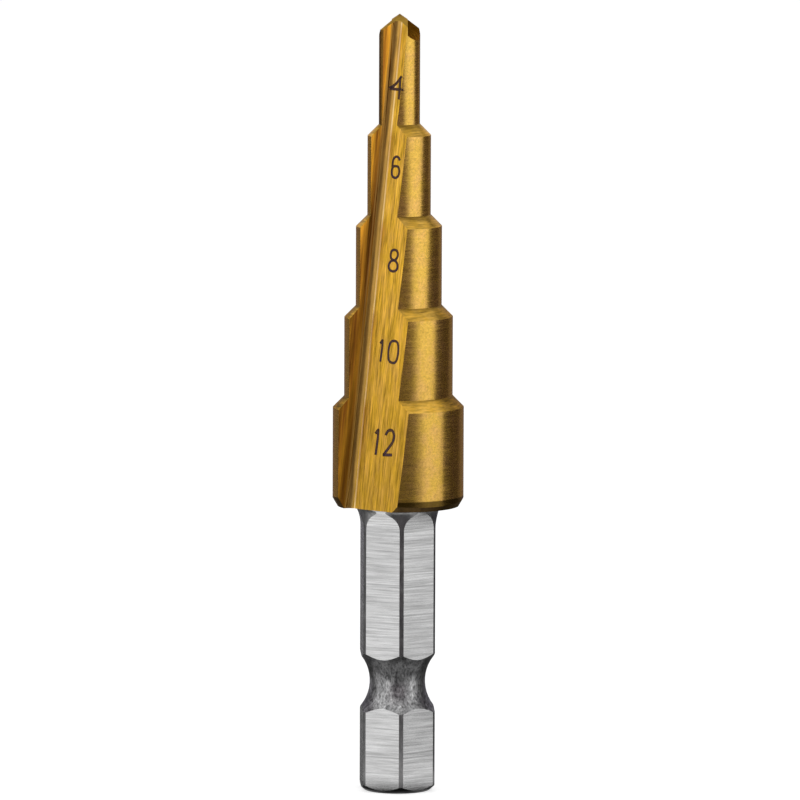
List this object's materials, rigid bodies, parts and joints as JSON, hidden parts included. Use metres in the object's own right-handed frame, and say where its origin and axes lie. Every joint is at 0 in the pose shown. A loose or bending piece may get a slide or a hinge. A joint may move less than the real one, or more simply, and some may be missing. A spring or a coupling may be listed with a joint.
{
  "type": "step drill",
  "caption": "Two-flute step drill for sheet metal, with rising cutting steps, a pointed tip and a grooved hex shank for a quick-change holder.",
  "frame": {"origin": "centre of the flat end of the hex shank, which the drill stands on", "axes": "+Z along the drill's axis towards its point; -Y is the side that the picture shows, where the first flute opens"},
  "size_m": [0.0116, 0.0114, 0.0687],
  "materials": {
    "drill_steel": "ground high-speed steel, gold titanium nitride coat on the cutter, bare ground shank"
  },
  "bodies": {
    "root": {"step_drill": "drill_steel"}
  },
  "joints": []
}
